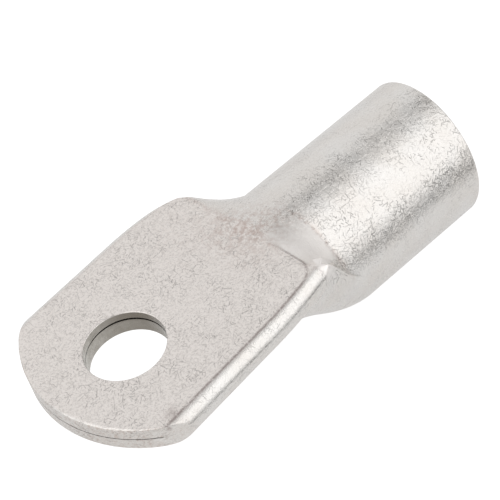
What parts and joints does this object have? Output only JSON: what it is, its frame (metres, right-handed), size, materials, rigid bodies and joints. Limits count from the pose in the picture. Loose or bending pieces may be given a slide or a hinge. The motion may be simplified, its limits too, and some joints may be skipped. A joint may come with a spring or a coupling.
{
  "type": "cable lug",
  "caption": "Tinned copper tube cable lug: a round barrel that is crimped onto a conductor, pressed flat at the other end into a palm with a bolt hole.",
  "frame": {"origin": "centre of the bolt hole at the underside of the palm", "axes": "+Z along the bolt hole's axis, out of the contact face; +X from the bolt hole towards the barrel; symmetric about the XZ plane"},
  "size_m": [0.0654, 0.0294, 0.0235],
  "materials": {
    "tinned_copper": "matt tin plating over copper, tumbled"
  },
  "bodies": {
    "root": {"cable_lug": "tinned_copper"}
  },
  "joints": []
}
